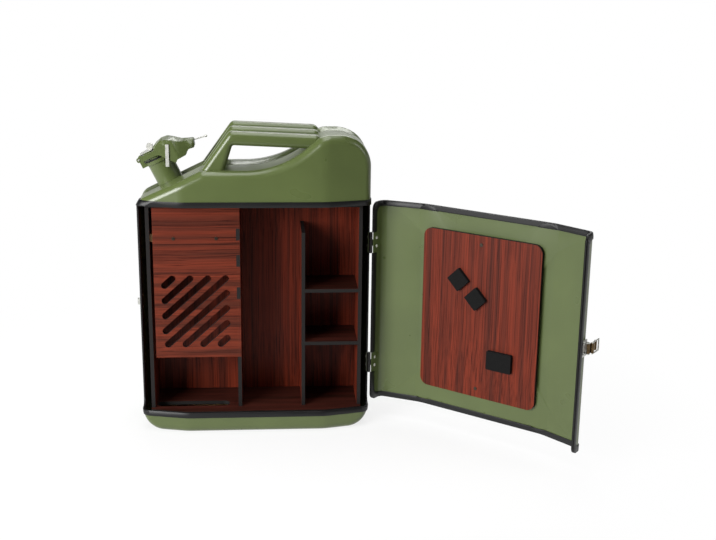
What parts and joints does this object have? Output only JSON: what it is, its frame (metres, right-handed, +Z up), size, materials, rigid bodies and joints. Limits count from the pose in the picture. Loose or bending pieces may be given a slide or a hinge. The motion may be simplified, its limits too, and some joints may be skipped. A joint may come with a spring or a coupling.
{
  "type": "minibar cabinet",
  "caption": "Small minibar cabinet made from a pressed steel fuel can: hinged tray door, board-lined bays and shelves, spout closure and carrying handles.",
  "frame": {"origin": "on the floor, under the middle of the closed can body", "axes": "+X right seen from the front, +Y to the back, +Z up"},
  "size_m": [0.6581, 0.3445, 0.4598],
  "materials": {
    "olive_paint": "gloss olive green enamel",
    "board_veneer": "rosewood look laminate with a dark cut edge",
    "raw_board": "raw timber",
    "edge_rubber": "black extruded edging",
    "black_metal": "black painted hinge steel",
    "bright_steel": "bright zinc plated steel",
    "bronze_steel": "antique bronze plating",
    "black_foam": "matte black foam",
    "seal_rubber": "black rubber seal"
  },
  "bodies": {
    "can": {"back_panel": "board_veneer", "body_edge_trim": "edge_rubber", "body_hinge_rivets": "bright_steel", "cap_hinge_pin": "bright_steel", "ceiling_panel": "board_veneer", "floor_panel": "board_veneer", "floor_runners": "raw_board", "front_half_shell": "olive_paint", "handle_front": "olive_paint", "handle_middle": "olive_paint", "handle_rear": "olive_paint", "keeper_rivets": "bright_steel", "latch_keeper": "bright_steel", "left_divider": "board_veneer", "left_side_panel": "board_veneer", "lower_hinge_body_leaf": "black_metal", "lower_hinge_pin": "black_metal", "lower_shelf": "board_veneer", "neck_lip": "olive_paint", "panel_batten": "raw_board", "panel_screws": "bronze_steel", "rear_half_shell": "olive_paint", "right_divider": "board_veneer", "right_side_panel": "board_veneer", "seam_bead": "olive_paint", "slotted_panel": "board_veneer", "spout_neck": "olive_paint", "upper_hinge_body_leaf": "black_metal", "upper_hinge_pin": "black_metal", "upper_shelf": "board_veneer"},
    "door": {"door_shell": "olive_paint", "door_edge_trim": "edge_rubber", "upper_hinge_door_leaf": "black_metal", "lower_hinge_door_leaf": "black_metal", "door_hinge_rivets": "bright_steel", "door_board": "board_veneer", "door_board_spacers": "bright_steel", "door_board_screws": "bronze_steel", "upper_square_pad": "black_foam", "lower_square_pad": "black_foam", "long_pad": "black_foam", "latch_base": "bright_steel", "latch_pin": "bright_steel", "latch_rivets": "bright_steel"},
    "closure": {"cap_lid": "olive_paint", "cap_gasket": "seal_rubber", "cap_stem": "olive_paint", "cap_lever": "olive_paint", "lid_knob": "bright_steel", "closure_straps": "bright_steel"},
    "locking_wire": {"locking_pin": "bright_steel"},
    "latch_lever_body": {"latch_lever": "bronze_steel"},
    "latch_loop_body": {"latch_loop": "bright_steel"}
  },
  "joints": [
    {"name": "door_hinge", "type": "hinge", "parent": "can", "child": "door", "pos_m": [0.17545, -0.04026, 0.1925], "axis": [0, 0, 1], "range_deg": [-140.5, 35]},
    {"name": "closure_hinge", "type": "hinge", "parent": "can", "child": "closure", "pos_m": [-0.1692, 0, 0.41144], "axis": [0, -1, 0], "range_deg": [0, 95]},
    {"name": "locking_pin_slide", "type": "slide", "parent": "closure", "child": "locking_wire", "axis": [0.9563, 0, 0.2924], "range_m": [0, 0.008]},
    {"name": "latch_lever_hinge", "type": "hinge", "parent": "door", "child": "latch_lever_body", "pos_m": [0.45958, -0.25078, 0.1885], "axis": [0, 0, -1], "range_deg": [0, 100]},
    {"name": "latch_loop_hinge", "type": "hinge", "parent": "latch_lever_body", "child": "latch_loop_body", "pos_m": [0.466, -0.24959, 0.1885], "axis": [0, 0, -1], "range_deg": [0, 105]}
  ]
}
